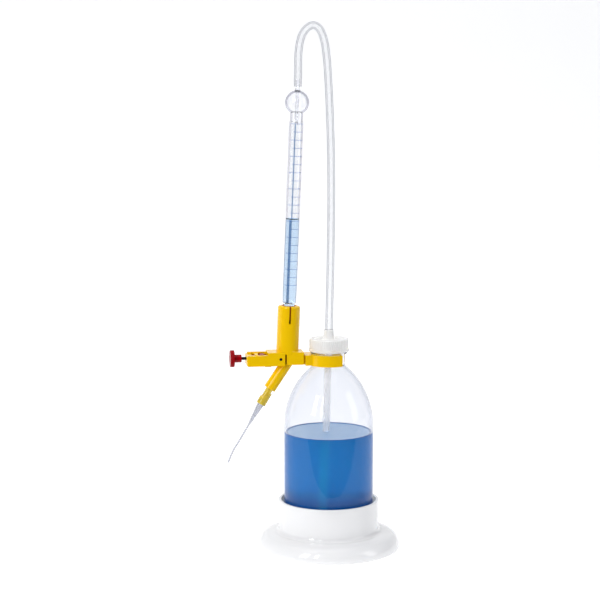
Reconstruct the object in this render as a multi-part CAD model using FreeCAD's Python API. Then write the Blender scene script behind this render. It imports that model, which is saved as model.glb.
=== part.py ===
import FreeCAD, Part
import math
import os

from FreeCAD import Vector

# Automatic zero burette on a squeeze bottle. Millimetres; the origin is the middle of the base's
# underside, +Z is up, the valve arm points along -X and the graduated side faces -Y.

# ---- driving dimensions ----
FOOT_RADIUS = 60.7
SOCKET_RADIUS = 42.8
SOCKET_TOP = 42.0
SOCKET_BORE = 40.3
BASE_FLOOR = 3.0

BOTTLE_RADIUS = 38.0
BOTTLE_WALL = 1.2
BOTTLE_BOTTOM = BASE_FLOOR + 0.3
SHOULDER_START = 106.0
NECK_BOTTOM = 157.7
NECK_RADIUS = 13.5
NECK_BORE = 11.7
FLANGE_BOTTOM = 168.0
FLANGE_TOP = 169.3
FLANGE_RADIUS = 15.5
THREAD_ROOT = 12.9
NECK_TOP = 177.6
LIQUID_LEVEL = 100.0

RISER_RADIUS = 3.1
RISER_TOP = Vector(0, 0, 183.6)
RISER_FOOT = Vector(-4.6, 0, 8.0)

CAP_RADIUS = 16.5
CAP_BOTTOM = 169.7
CAP_TOP = 180.4
CAP_BOSS_TOP = 188.0
CAP_BOSS_RADIUS = 4.5
CAP_BORE = 3.75
CAP_RIBS = 56

CLIP_BORE = 13.8
CLIP_RADIUS = 17.7
CLIP_BOTTOM = 158.3
CLIP_TOP = 167.6

BLOCK_LEFT = -53.0
BLOCK_SEAM = -37.0
BLOCK_RIGHT = -22.5
BLOCK_BOTTOM = 159.7
BLOCK_TOP = 170.3
BLOCK_HALF_WIDTH = 9.0
PLATE_FRONT = -7.6
PLATE_BOTTOM = 168.6
ARM_HALF_WIDTH = 9.3
HOUSING_LEFT = -70.6
HOUSING_RIGHT = -38.5
HOUSING_BOTTOM = 159.0
HOUSING_TOP = 168.0
CHANNEL_HALF_WIDTH = 5.4
CHANNEL_BOTTOM = 161.2
CHANNEL_TOP = 167.3

SLIDER_TRAVEL = 2.2
SCREW_AXIS = 164.8
SCREW_RADIUS = 1.4
PIN_X = -42.1
PIN_Z = 164.6
PIN_RADIUS = 1.25

TOWER_FOOT = Vector(-35.5, 0, BLOCK_TOP)
TOWER_RADIUS = 9.4
TOWER_HEIGHT = 38.7
LEAN = 2.31

GLASS_RADIUS = 5.85
GLASS_WALL = 1.0
GLASS_FULL = 42.5
BULB_CENTRE = 208.6
BULB_RADIUS = 10.0
ZERO_TIP = 190.3
MENISCUS = 111.5
STEM_RADIUS = 1.85
HOSE_END = 221.6

HOSE_RADIUS = 3.3
HOSE_BORE = 2.0

SPOUT_TOP = Vector(-38.2, 0, 157.1)
SPOUT_ANGLE = 33.8
SPOUT_RADIUS = 5.05
SPOUT_LENGTH = 22.3
TIP_START = Vector(-49.9, 0, 139.6)
TIP_ANGLE = 30.5

Z_AXIS = Vector(0, 0, 1)
ORIGIN = Vector(0, 0, 0)


# ---- helpers ----
def outline(start, *steps):
    """Closed face in the XZ plane from (x, z) points; a pair of points is an arc through the first."""
    def at(point):
        return Vector(point[0], 0, point[1])

    edges = []
    here = start
    for step in steps + (start,):
        if isinstance(step[0], tuple):
            edges.append(Part.Arc(at(here), at(step[0]), at(step[1])).toShape())
            here = step[1]
        elif step != here:
            edges.append(Part.makeLine(at(here), at(step)))
            here = step
    return Part.Face(Part.Wire(edges))


def turned(start, *steps):
    """Solid of revolution about Z from an outline in radius and height."""
    return outline(start, *steps).revolve(ORIGIN, Z_AXIS, 360)


def block(x0, x1, y0, y1, z0, z1):
    return Part.makeBox(x1 - x0, y1 - y0, z1 - z0, Vector(x0, y0, z0))


def rod(start, end, radius):
    return Part.makeCylinder(radius, (end - start).Length, start, end - start)


def tube(start, end, radius, bore):
    return rod(start, end, radius).cut(rod(start, end, bore))


def rounded(shape, radius, keep):
    """Fillet the edges for which keep(edge) is true."""
    return shape.makeFillet(radius, [edge for edge in shape.Edges if keep(edge)])


def joined(shape, *others):
    for other in others:
        shape = shape.fuse(other)
    return shape


def cut_by(shape, *tools):
    for tool in tools:
        shape = shape.cut(tool)
    return shape


def is_upright(edge):
    box = edge.BoundBox
    return box.ZLength > 1.0 and box.XLength < 0.01 and box.YLength < 0.01


def leaning(shape):
    """Move a piece made about Z from height 0 onto the burette's leaning axis."""
    moved = shape.copy()
    moved.rotate(ORIGIN, Vector(0, 1, 0), LEAN)
    moved.translate(TOWER_FOOT)
    return moved


def lean_point(height):
    lean = math.radians(LEAN)
    return TOWER_FOOT + Vector(math.sin(lean), 0, math.cos(lean)) * height


def downward(angle):
    turn = math.radians(angle)
    return Vector(-math.sin(turn), 0, -math.cos(turn))


def along_tip(shape):
    """Move a piece made about Z, pointing down from height 0, onto the tip's axis."""
    moved = shape.copy()
    moved.rotate(ORIGIN, Vector(0, 1, 0), TIP_ANGLE)
    moved.translate(TIP_START)
    return moved


def on_circle(centre_x, centre_z, radius, degrees):
    turn = math.radians(degrees)
    return (centre_x + radius * math.cos(turn), centre_z + radius * math.sin(turn))


pieces = {}


# ---- base: one white moulding, a flared foot with a socket that the bottle stands in ----
UNDERSIDE_RECESS = 2.0
pieces["base_foot"] = turned(
    (0, 0), (41.8, 0), (43.0, UNDERSIDE_RECESS), (56.2, UNDERSIDE_RECESS), (57.4, 0), (58.6, 0),
    ((60.2, 0.9), (FOOT_RADIUS, 3.0)), ((59.2, 8.0), (55.0, 12.3)), ((50.6, 13.9), (45.9, 14.6)),
    ((43.7, 15.6), (SOCKET_RADIUS, 18.0)), (SOCKET_RADIUS, SOCKET_TOP - 0.8),
    ((SOCKET_RADIUS - 0.24, SOCKET_TOP - 0.24), (SOCKET_RADIUS - 0.8, SOCKET_TOP)),
    (SOCKET_BORE + 0.6, SOCKET_TOP), (SOCKET_BORE, SOCKET_TOP - 0.6), (SOCKET_BORE, BASE_FLOOR),
    (0, BASE_FLOOR))


# ---- bottle: blown shell with a one-arc shoulder, a clip groove, a flange and a threaded neck ----
shoulder_run = BOTTLE_RADIUS - NECK_RADIUS
shoulder_rise = NECK_BOTTOM - SHOULDER_START
shoulder_arc = (shoulder_run ** 2 + shoulder_rise ** 2) / (2 * shoulder_run)
shoulder_x = BOTTLE_RADIUS - shoulder_arc


def shoulder(inset, end_radius):
    """Middle and end points of the shoulder's arc, inset from its outside."""
    radius = shoulder_arc - inset
    end = math.degrees(math.acos((end_radius - shoulder_x) / radius))
    return (on_circle(shoulder_x, SHOULDER_START, radius, end / 2),
            on_circle(shoulder_x, SHOULDER_START, radius, end))


HEEL = 4.0
GAP = 0.1
outer_middle, outer_end = shoulder(0, NECK_RADIUS)
inner_middle, inner_end = shoulder(BOTTLE_WALL, NECK_BORE)
bottle_bore = BOTTLE_RADIUS - BOTTLE_WALL
inside_floor = BOTTLE_BOTTOM + 1.4
heel_centre = BOTTLE_RADIUS - HEEL
bottle = turned(
    (0, BOTTLE_BOTTOM), (heel_centre, BOTTLE_BOTTOM),
    (on_circle(heel_centre, BOTTLE_BOTTOM + HEEL, HEEL, -45), (BOTTLE_RADIUS, BOTTLE_BOTTOM + HEEL)),
    (BOTTLE_RADIUS, SHOULDER_START), (outer_middle, outer_end), (NECK_RADIUS, FLANGE_BOTTOM),
    (FLANGE_RADIUS, FLANGE_BOTTOM), (FLANGE_RADIUS, FLANGE_TOP), (THREAD_ROOT, FLANGE_TOP),
    (THREAD_ROOT, NECK_TOP),
    (NECK_BORE, NECK_TOP), (inner_end[0], inner_end[1]), (inner_middle, (bottle_bore, SHOULDER_START)),
    (bottle_bore, inside_floor + HEEL),
    (on_circle(bottle_bore - HEEL, inside_floor + HEEL, HEEL, -45), (bottle_bore - HEEL, inside_floor)),
    (0, inside_floor))
THREAD_HEIGHT = 0.9
THREAD_START = 170.6
THREAD_SPACING = 2.2
THREAD_WIDTH = 1.3
for turn in range(3):
    foot = THREAD_START + THREAD_SPACING * turn
    crest = THREAD_ROOT + THREAD_HEIGHT
    bottle = bottle.fuse(turned(
        (THREAD_ROOT - GAP, foot), (THREAD_ROOT, foot), (crest, foot + 0.5), (crest, foot + 0.8),
        (THREAD_ROOT, foot + THREAD_WIDTH), (THREAD_ROOT - GAP, foot + THREAD_WIDTH)))
pieces["bottle"] = bottle

RISER_WALL = 1.0
pieces["riser_tube"] = tube(RISER_FOOT, RISER_TOP, RISER_RADIUS, RISER_RADIUS - RISER_WALL)

liquid_radius = bottle_bore - GAP
liquid_floor = inside_floor + GAP
pieces["bottle_titrant"] = turned(
    (0, liquid_floor), (liquid_radius - HEEL, liquid_floor),
    (on_circle(liquid_radius - HEEL, liquid_floor + HEEL, HEEL, -45),
     (liquid_radius, liquid_floor + HEEL)),
    (liquid_radius, LIQUID_LEVEL), (0, LIQUID_LEVEL)).cut(
        rod(RISER_FOOT - (RISER_TOP - RISER_FOOT) * 0.05, RISER_TOP, RISER_RADIUS))


# ---- screw cap: ribbed skirt, lower lip, recessed top and a boss that the hose passes through ----
def ribbed_disc(radius, depth, count, bottom, height):
    """Disc whose edge carries evenly spaced square-cut ribs."""
    points = []
    for rib in range(count):
        for share, reach in ((0.0, radius), (0.5, radius), (0.6, radius - depth), (0.9, radius - depth)):
            turn = 2 * math.pi * (rib + share) / count
            points.append(Vector(reach * math.cos(turn), reach * math.sin(turn), bottom))
    return Part.Face(Part.makePolygon(points + points[:1])).extrude(Vector(0, 0, height))


RIB_DEPTH = 0.4
SKIRT_BORE = 14.2
RECESS_INNER = 6.4
RECESS_OUTER = 12.0
recess_floor = CAP_TOP - 0.7
roof_bottom = NECK_TOP + 1.4
skirt = ribbed_disc(CAP_RADIUS, RIB_DEPTH, CAP_RIBS, CAP_BOTTOM + 0.9, CAP_TOP - 0.5 - CAP_BOTTOM - 0.9)
lip = turned((0, CAP_BOTTOM), (16.9, CAP_BOTTOM), (17.2, CAP_BOTTOM + 0.4), (17.1, CAP_BOTTOM + 1.2),
             (15.9, CAP_BOTTOM + 1.6), (0, CAP_BOTTOM + 1.6))
crown = turned((0, CAP_TOP - 2), (15.9, CAP_TOP - 2), (15.9, CAP_TOP - 0.5), (15.4, CAP_TOP),
               (RECESS_OUTER + 0.4, CAP_TOP), (RECESS_OUTER, recess_floor), (RECESS_INNER, recess_floor),
               (RECESS_INNER - 0.4, CAP_TOP),
               (CAP_BOSS_RADIUS, CAP_TOP), (CAP_BOSS_RADIUS - 0.2, CAP_BOSS_TOP - 0.6),
               (CAP_BOSS_RADIUS - 0.6, CAP_BOSS_TOP), (0, CAP_BOSS_TOP))
groove = turned((RECESS_INNER, recess_floor), (RECESS_OUTER, recess_floor),
                (RECESS_OUTER + 0.4, CAP_TOP + 1), (RECESS_INNER - 0.4, CAP_TOP + 1))
inside = turned((0, CAP_BOTTOM - 1), (SKIRT_BORE, CAP_BOTTOM - 1), (SKIRT_BORE, roof_bottom),
                (CAP_BORE, roof_bottom), (CAP_BORE, CAP_BOSS_TOP + 1), (0, CAP_BOSS_TOP + 1))
pieces["screw_cap"] = cut_by(joined(skirt, lip, crown), groove, inside)
LINER_RADIUS = 13.4
liner_bottom = NECK_TOP + 0.3
liner_top = NECK_TOP + 1.1
pieces["cap_liner"] = turned((CAP_BORE, liner_bottom), (LINER_RADIUS, liner_bottom),
                             (LINER_RADIUS, liner_top), (CAP_BORE, liner_top))


# ---- neck clip: an open ring round the bottle's neck, with a square shoulder towards the block ----
GAP_FRONT = -58
GAP_BACK = 30
SLIT = 1.2
ring = turned((CLIP_BORE, CLIP_BOTTOM), (CLIP_RADIUS, CLIP_BOTTOM), (CLIP_RADIUS, CLIP_TOP),
              (CLIP_BORE, CLIP_TOP))
mouth = Part.makeCylinder(CLIP_RADIUS + 1, CLIP_TOP - CLIP_BOTTOM + 2, Vector(0, 0, CLIP_BOTTOM - 1),
                          Z_AXIS, GAP_BACK - GAP_FRONT)
mouth.rotate(ORIGIN, Z_AXIS, GAP_FRONT)
shoulder_block = block(BLOCK_RIGHT + SLIT, -9.0, -BLOCK_HALF_WIDTH, BLOCK_HALF_WIDTH,
                       CLIP_BOTTOM + 0.5, CLIP_TOP)
clip_neck = block(BLOCK_RIGHT, BLOCK_RIGHT + SLIT, -5.6, 5.6, CLIP_BOTTOM + 1.4, CLIP_TOP - 0.6)
bore = Part.makeCylinder(CLIP_BORE, 20, Vector(0, 0, CLIP_BOTTOM - 5))
pieces["neck_clip"] = joined(ring.cut(mouth), shoulder_block, clip_neck).cut(bore).removeSplitter()


# ---- burette holder: block, top plate and slotted tower in one moulding ----
spout_axis = downward(SPOUT_ANGLE)
hose_way = rod(SPOUT_TOP - spout_axis * 6.5, SPOUT_TOP + spout_axis * 6.0, 3.4)
holder_block = rounded(block(BLOCK_SEAM, BLOCK_RIGHT, -BLOCK_HALF_WIDTH, BLOCK_HALF_WIDTH,
                             BLOCK_BOTTOM, PLATE_BOTTOM + 0.2), 0.5,
                       lambda edge: is_upright(edge) and edge.BoundBox.XMin > BLOCK_RIGHT - 1)
plate = rounded(block(BLOCK_LEFT, BLOCK_RIGHT, PLATE_FRONT, ARM_HALF_WIDTH, PLATE_BOTTOM, BLOCK_TOP), 0.5,
                lambda edge: is_upright(edge))
plate_front = block(BLOCK_SEAM, BLOCK_RIGHT, -BLOCK_HALF_WIDTH, PLATE_FRONT + 0.1, PLATE_BOTTOM, BLOCK_TOP)
TOWER_ROUND = 1.8
half_round = TOWER_ROUND * (1 - math.sqrt(0.5))
tower = leaning(turned(
    (0, -2.2), (TOWER_RADIUS, -2.2), (TOWER_RADIUS, TOWER_HEIGHT - TOWER_ROUND),
    ((TOWER_RADIUS - half_round, TOWER_HEIGHT - half_round), (TOWER_RADIUS - TOWER_ROUND, TOWER_HEIGHT)),
    (0, TOWER_HEIGHT)))
tower = tower.common(block(-60, -10, -12, 12, PLATE_BOTTOM + 0.1, 230))
tower_foot = leaning(turned((0, -1.5), (TOWER_RADIUS + 1.2, -1.5), (TOWER_RADIUS + 1.2, 0.1),
                            ((TOWER_RADIUS + 0.35, 0.45), (TOWER_RADIUS, 1.3)), (0, 1.3)))
tower_foot = tower_foot.common(block(-60, BLOCK_RIGHT, -BLOCK_HALF_WIDTH, ARM_HALF_WIDTH,
                                     PLATE_BOTTOM + 0.1, 180))
channel = block(BLOCK_SEAM - 1, -25.5, -CHANNEL_HALF_WIDTH, CHANNEL_HALF_WIDTH, CHANNEL_BOTTOM,
                CHANNEL_TOP)
HOSE_HOLE = 3.6
GLASS_HOLE = 6.4
tower_bore = leaning(turned((0, -8), (HOSE_HOLE, -8), (HOSE_HOLE, 12), (GLASS_HOLE, 13.5),
                            (GLASS_HOLE, TOWER_HEIGHT + 1), (0, TOWER_HEIGHT + 1)))
SLOT_WIDTH = 1.5
SLOT_DEPTH = 14.5
slot = leaning(block(-SLOT_WIDTH / 2, SLOT_WIDTH / 2, -TOWER_RADIUS - 1, 0, TOWER_HEIGHT - SLOT_DEPTH,
                     TOWER_HEIGHT + 1))
plate_relief = block(BLOCK_LEFT - 1, HOUSING_RIGHT + 0.02, -12, PLATE_FRONT + 0.02, PLATE_BOTTOM - 1,
                     BLOCK_TOP + 0.02)
pieces["burette_holder"] = cut_by(joined(holder_block, plate, plate_front, tower, tower_foot),
                                  channel, tower_bore, slot, hose_way, plate_relief).removeSplitter()


# ---- valve housing: channel for the slider, open on top, with the taller front plate ----
box = block(HOUSING_LEFT, HOUSING_RIGHT, -ARM_HALF_WIDTH, ARM_HALF_WIDTH, HOUSING_BOTTOM, HOUSING_TOP)
box = rounded(box, 1.4, lambda edge: edge.BoundBox.XMax < HOUSING_LEFT + 0.1)
raised = block(BLOCK_LEFT, HOUSING_RIGHT, -ARM_HALF_WIDTH, ARM_HALF_WIDTH, HOUSING_TOP - 0.1,
               PLATE_BOTTOM)
front_plate = block(BLOCK_LEFT, HOUSING_RIGHT, -ARM_HALF_WIDTH, PLATE_FRONT, HOUSING_TOP - 0.1, BLOCK_TOP)
back_wall = block(HOUSING_LEFT + 1.6, BLOCK_LEFT, CHANNEL_HALF_WIDTH, ARM_HALF_WIDTH - 0.6,
                  HOUSING_TOP - 0.1, HOUSING_TOP + 1.2)
under_boss = block(-55.2, -50.0, -7.0, 7.0, HOUSING_BOTTOM - 0.8, HOUSING_BOTTOM + 0.1)
WINDOW_LEFT = -66.3
WINDOW_RIGHT = -53.1
window = block(WINDOW_LEFT, WINDOW_RIGHT, -CHANNEL_HALF_WIDTH, CHANNEL_HALF_WIDTH, CHANNEL_TOP - 1,
               HOUSING_TOP + 3)
long_channel = block(HOUSING_LEFT + 2.2, HOUSING_RIGHT + 1, -CHANNEL_HALF_WIDTH, CHANNEL_HALF_WIDTH,
                     CHANNEL_BOTTOM, CHANNEL_TOP)
stem_hole = rod(Vector(HOUSING_LEFT - 1, 0, SCREW_AXIS), Vector(HOUSING_LEFT + 4, 0, SCREW_AXIS),
                SCREW_RADIUS + 0.35)
pin_hole = rod(Vector(PIN_X, -ARM_HALF_WIDTH - 1, PIN_Z), Vector(PIN_X, ARM_HALF_WIDTH + 1, PIN_Z),
               PIN_RADIUS + 0.02)
tongue_reach = CHANNEL_HALF_WIDTH + 0.2
tongue_corners = [Vector(x, y, HOUSING_TOP - 0.1) for x, y in (
    (-64.6, tongue_reach), (-59.8, tongue_reach), (-61.2, -tongue_reach), (-63.2, -tongue_reach))]
tongue = Part.Face(Part.makePolygon(tongue_corners + tongue_corners[:1])).extrude(Vector(0, 0, 0.6))
open_housing = cut_by(joined(box, raised, front_plate, back_wall, under_boss),
                      window, long_channel, stem_hole, pin_hole, hose_way)
pieces["valve_housing"] = open_housing.fuse(tongue).removeSplitter()


# ---- inside the valve: cross pin, anvil, slider, spring, screw, pad and knob ----
pieces["anvil_pin"] = rod(Vector(PIN_X, -ARM_HALF_WIDTH + 0.7, PIN_Z),
                          Vector(PIN_X, ARM_HALF_WIDTH - 0.7, PIN_Z), PIN_RADIUS)
ANVIL_LEFT = -43.8
ANVIL_RIGHT = -38.6
pieces["pinch_anvil"] = block(ANVIL_LEFT, ANVIL_RIGHT, -2.4, 2.4, 162.2, 166.6).cut(pin_hole)

SLIDER_LEFT = -68.0
SLIDER_RIGHT = -32.2
SLIDER_BOTTOM = 161.6
SLIDER_TOP = 166.9
slider = block(SLIDER_LEFT, SLIDER_RIGHT, -5.0, 5.0, SLIDER_BOTTOM, SLIDER_TOP)
thumb_pad = block(WINDOW_LEFT + 0.4, WINDOW_RIGHT - SLIDER_TRAVEL - 0.4, -4.9, 4.9, SLIDER_TOP - 0.1,
                  167.6)
THUMB_RIDGE_TOP = 168.4
thumb_ridge = block(-59.3, WINDOW_RIGHT - SLIDER_TRAVEL - 0.4, -4.9, 4.9, SLIDER_TOP, THUMB_RIDGE_TOP)
PINCH_NOSE = -35.2
slider_window = block(-46.5, -33.9, -2.9, 2.9, SLIDER_BOTTOM - 1, SLIDER_TOP + 1)
pinch_nose = block(PINCH_NOSE, -33.8, -3.0, 3.0, 163.6, 165.0)
pin_slot = block(PIN_X - PIN_RADIUS - SLIDER_TRAVEL - 0.35, PIN_X + PIN_RADIUS + 0.35, -6, 6,
                 PIN_Z - PIN_RADIUS - 0.35, PIN_Z + PIN_RADIUS + 0.35)
screw_way = rod(Vector(SLIDER_LEFT - 1, 0, SCREW_AXIS), Vector(-57.0, 0, SCREW_AXIS), 1.75)
insert_seat = rod(Vector(SLIDER_LEFT - 1, 0, SCREW_AXIS), Vector(-63.6, 0, SCREW_AXIS), 1.97)
pieces["pinch_slider"] = cut_by(joined(slider, thumb_pad, thumb_ridge), slider_window, pin_slot, screw_way,
                                insert_seat).fuse(pinch_nose)
pieces["threaded_insert"] = tube(Vector(SLIDER_LEFT + 0.1, 0, SCREW_AXIS), Vector(-63.7, 0, SCREW_AXIS),
                                 1.95, SCREW_RADIUS + 0.05)

SPRING_START = SLIDER_RIGHT + 0.1
SPRING_LENGTH = -25.6 - SPRING_START
SPRING_RADIUS = 2.2
WIRE_RADIUS = 0.3
SPRING_TURNS = 5
coil_length = SPRING_LENGTH - 2 * WIRE_RADIUS
helix = Part.makeHelix(coil_length / SPRING_TURNS, coil_length, SPRING_RADIUS)
wire_section = Part.Wire(Part.makeCircle(WIRE_RADIUS, Vector(SPRING_RADIUS, 0, 0), Vector(0, 1, 0)))
spring = Part.Wire(helix).makePipeShell([wire_section], True, True)
spring.rotate(ORIGIN, Vector(0, 1, 0), 90)
spring.translate(Vector(SPRING_START + WIRE_RADIUS, 0, 164.25))
pieces["return_spring"] = spring

KNOB_LEFT = -84.2
KNOB_RIM = 7.1
HUB_RIGHT = -74.5
SCREW_TIP = -60.0
HUB_RADIUS = 3.3
hub_end = HUB_RIGHT - KNOB_LEFT
pieces["metering_screw"] = rod(Vector(KNOB_LEFT + 1.2, 0, SCREW_AXIS), Vector(SCREW_TIP, 0, SCREW_AXIS),
                               SCREW_RADIUS)
pieces["thrust_pad"] = rod(Vector(SCREW_TIP + 0.3, 0, SCREW_AXIS), Vector(SCREW_TIP + 1.5, 0, SCREW_AXIS),
                           1.3)
knob = turned((0, 0), (KNOB_RIM - 1.0, 0), ((KNOB_RIM - 0.29, 0.29), (KNOB_RIM, 1.0)), (KNOB_RIM, 2.7),
              ((KNOB_RIM - 0.26, 3.34), (KNOB_RIM - 0.9, 3.6)), (HUB_RADIUS + 0.4, 3.6),
              ((HUB_RADIUS + 0.12, 3.72), (HUB_RADIUS, 4.0)), (HUB_RADIUS, hub_end - 0.3),
              (HUB_RADIUS - 0.3, hub_end), (0, hub_end))
knob.rotate(ORIGIN, Vector(0, 1, 0), 90)
knob.translate(Vector(KNOB_LEFT, 0, SCREW_AXIS))
pieces["adjusting_knob"] = knob.cut(rod(Vector(KNOB_LEFT + 1.18, 0, SCREW_AXIS),
                                        Vector(HUB_RIGHT + 1, 0, SCREW_AXIS), SCREW_RADIUS + 0.02))


# ---- burette: glass tube with bulb, stem and nipple, inner fill tube, titrant and back stripe ----
NIPPLE_RADIUS = 2.2
NIPPLE_BOTTOM = 16.2
SEAT_RADIUS = 4.6


def glass(inset, bottom, top_steps):
    """Half outline of the glass from the nipple up to the neck, inset from its outside."""
    return [(NIPPLE_RADIUS - inset, bottom), (NIPPLE_RADIUS - inset, 24.0), (SEAT_RADIUS - inset, 27.0),
            (SEAT_RADIUS - inset, 38.6), (GLASS_RADIUS - inset, GLASS_FULL)] + top_steps


neck_radius = 5.3
neck_start = 191.5


def bulb_points(inset, stem):
    """Neck, ball and stem of the glass as arc steps, inset from their outside."""
    ball = BULB_RADIUS - inset
    low = -math.degrees(math.acos((neck_radius - inset) / ball))
    high = math.degrees(math.acos(stem / ball))
    return [(neck_radius - inset, neck_start + 1.5), on_circle(0, BULB_CENTRE, ball, low),
            (on_circle(0, BULB_CENTRE, ball, 0), on_circle(0, BULB_CENTRE, ball, high))]


STEM_TOP = 227.5
stem_bore = 1.05
outer = glass(0, NIPPLE_BOTTOM, [(GLASS_RADIUS, neck_start)] + bulb_points(0, 2.6) +
              [(STEM_RADIUS, HOSE_END - 0.4), (STEM_RADIUS, STEM_TOP)])
inner = glass(GLASS_WALL, NIPPLE_BOTTOM, [(GLASS_RADIUS - GLASS_WALL, neck_start)] +
              bulb_points(GLASS_WALL, stem_bore) + [(stem_bore, STEM_TOP)])
glass_face = outline((0, NIPPLE_BOTTOM), *outer, (0, STEM_TOP)).cut(
    outline((0, NIPPLE_BOTTOM), *inner, (0, STEM_TOP)))
pieces["burette_tube"] = leaning(glass_face.revolve(ORIGIN, Z_AXIS, 360))
pieces["burette_fill_tube"] = leaning(tube(Vector(0, 0, ZERO_TIP), Vector(0, 0, 217.2), 1.4, 0.8))

COLUMN_BOTTOM = 17.0
column = glass(GLASS_WALL + GAP, COLUMN_BOTTOM, [(GLASS_RADIUS - GLASS_WALL - GAP, MENISCUS)])
pieces["burette_titrant"] = leaning(turned((0, COLUMN_BOTTOM), *column, (0, MENISCUS)))

STRIPE_ARC = 80
stripe_inside = GLASS_RADIUS + 0.03
stripe_outside = GLASS_RADIUS + 0.23
stripe = outline((stripe_inside, GLASS_FULL + 1), (stripe_outside, GLASS_FULL + 1),
                 (stripe_outside, neck_start - 0.5), (stripe_inside, neck_start - 0.5))
stripe = stripe.revolve(ORIGIN, Z_AXIS, STRIPE_ARC)
stripe.rotate(ORIGIN, Z_AXIS, 90 - STRIPE_ARC / 2)
pieces["reading_stripe"] = leaning(stripe)

BUSH_BOTTOM = 27.5
BUSH_TOP = 38.3
bush_bore = SEAT_RADIUS + 0.05
bush_radius = GLASS_HOLE - 0.05
pieces["burette_bush"] = leaning(turned((bush_bore, BUSH_BOTTOM), (bush_radius, BUSH_BOTTOM),
                                        (bush_radius, BUSH_TOP), (bush_bore, BUSH_TOP)))


# ---- outlet: pinch hose, spout, nipple, sleeve and drawn-out tip ----
PINCH_HOSE_RADIUS = 2.4
hose_top = lean_point(14.0)
pinch_middle = Vector(-37.1, 0, 164.3)
above = lean_point(-1.2)
below = SPOUT_TOP - spout_axis * 4.2
upper_end = Part.Wire(Part.makeCircle(PINCH_HOSE_RADIUS, above, hose_top - above))
waist = Part.Ellipse(Vector(pinch_middle.x, 2.6, pinch_middle.z), Vector(pinch_middle.x - 1.15, 0,
                     pinch_middle.z), pinch_middle)
waist_wire = Part.Wire(waist.toShape())
lower_end = Part.Wire(Part.makeCircle(PINCH_HOSE_RADIUS, below, spout_axis * -1))
pinched = Part.makeLoft([upper_end, waist_wire, lower_end], True)
socket_hose = rod(hose_top - (hose_top - above) * 0.02, lean_point(23.6), 3.2).cut(
    rod(lean_point(16.0), lean_point(25), 2.25))
upper_hose = rod(above, hose_top, PINCH_HOSE_RADIUS)
lower_hose = rod(below, SPOUT_TOP + spout_axis * 17.0, PINCH_HOSE_RADIUS)
pieces["pinch_hose"] = joined(pinched, socket_hose, upper_hose, lower_hose)

spout = tube(SPOUT_TOP - spout_axis * 8.0, SPOUT_TOP + spout_axis * SPOUT_LENGTH, SPOUT_RADIUS, 3.3)
pieces["outlet_spout"] = cut_by(
    spout, block(-60, HOUSING_RIGHT + 0.02, -10, 10, HOUSING_BOTTOM - 0.02, 175),
    block(-60, -20, -10, 10, 159.68, 175))

NIPPLE_OUTSIDE = 2.9
pieces["outlet_nipple"] = along_tip(tube(Vector(0, 0, 3.0), Vector(0, 0, -11.5), NIPPLE_OUTSIDE, 1.2))

COLLAR_RADIUS = 3.95
COLLAR_END = -16.3
collar = tube(Vector(0, 0, -3.0), Vector(0, 0, COLLAR_END), COLLAR_RADIUS, 2.95)
oblique = Part.makeBox(20, 20, 12, Vector(-10, -10, 0))
oblique.rotate(ORIGIN, Vector(0, 1, 0), -37)
oblique.translate(Vector(0, 0, -7.4))
pieces["tip_sleeve"] = along_tip(collar.cut(oblique))

CONE_END = -35.0
cone = along_tip(turned((0, -11.8), (2.9, -11.8), (2.9, COLLAR_END - 0.5), (1.2, CONE_END),
                        (0.75, CONE_END - 1.5), (0, CONE_END - 1.5)))
cone_bore = along_tip(turned((0, -11.0), (2.2, -11.0), (2.2, COLLAR_END - 0.5), (0.6, CONE_END),
                             (0.35, CONE_END - 2.0), (0, CONE_END - 2.0)))
tip_axis = downward(TIP_ANGLE)
bend_start = TIP_START + tip_axis * 54.0
straight_end = TIP_START + tip_axis * -(CONE_END + 0.5)
capillary_path = Part.Wire([
    Part.makeLine(straight_end, bend_start),
    Part.Arc(bend_start, Vector(-82.9, 0, 83.6), Vector(-86.0, 0, 75.8)).toShape()])


def swept(path, radius):
    start = path.Edges[0].Vertexes[0].Point
    section = Part.Wire(Part.makeCircle(radius, start, path.Edges[0].tangentAt(0)))
    return path.makePipeShell([section], True, False)


capillary = swept(capillary_path, 0.72)
capillary_bore = swept(capillary_path, 0.33)
pieces["dispensing_tip"] = cut_by(cone.fuse(capillary), cone_bore, capillary_bore)


# ---- supply hose: from the cap's boss over to the burette's stem, straight runs and tangent arcs ----
hose_points = [(0, 184), (0.4, 206), (1.3, 245), (1.9, 300), (1.3, 350), (-0.7, 395), (-2.5, 419.5),
               (-5.2, 434.0), (-10.3, 442.1), (-17.2, 441.9), (-23.6, 434.2), (-26.2, 420.5),
               (-26.2, 404)]
route = [Vector(x, 0, z) for x, z in hose_points] + [lean_point(HOSE_END)]


def rounded_route(points):
    """Straight runs joined by tangent arcs of 0.45 of the shorter run; prints each radius."""
    edges = []
    here = points[0]
    radii = []
    for before, corner, after in zip(points, points[1:], points[2:]):
        into = corner - before
        out = after - corner
        reach = 0.45 * min(into.Length, out.Length)
        half_turn = into.getAngle(out) / 2
        radius = reach / math.tan(half_turn)
        radii.append(round(radius, 1))
        arc_start = corner - into.normalize() * reach
        arc_end = corner + out.normalize() * reach
        inward = (arc_start + arc_end) * 0.5 - corner
        middle = corner + inward.normalize() * radius * (1 / math.cos(half_turn) - 1)
        edges.append(Part.LineSegment(here, arc_start).toShape())
        edges.append(Part.Arc(arc_start, middle, arc_end).toShape())
        here = arc_end
    edges.append(Part.LineSegment(here, points[-1]).toShape())
    print("hose arc radii", radii)
    return Part.Wire(edges)


hose_path = rounded_route(route)
pieces["supply_hose"] = swept(hose_path, HOSE_RADIUS).cut(swept(hose_path, HOSE_BORE))
section_area = math.pi * (HOSE_RADIUS ** 2 - HOSE_BORE ** 2)
print("hose length", round(hose_path.Length, 1), "volume over section times length",
      round(pieces["supply_hose"].Volume / (section_area * hose_path.Length), 4))


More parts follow.
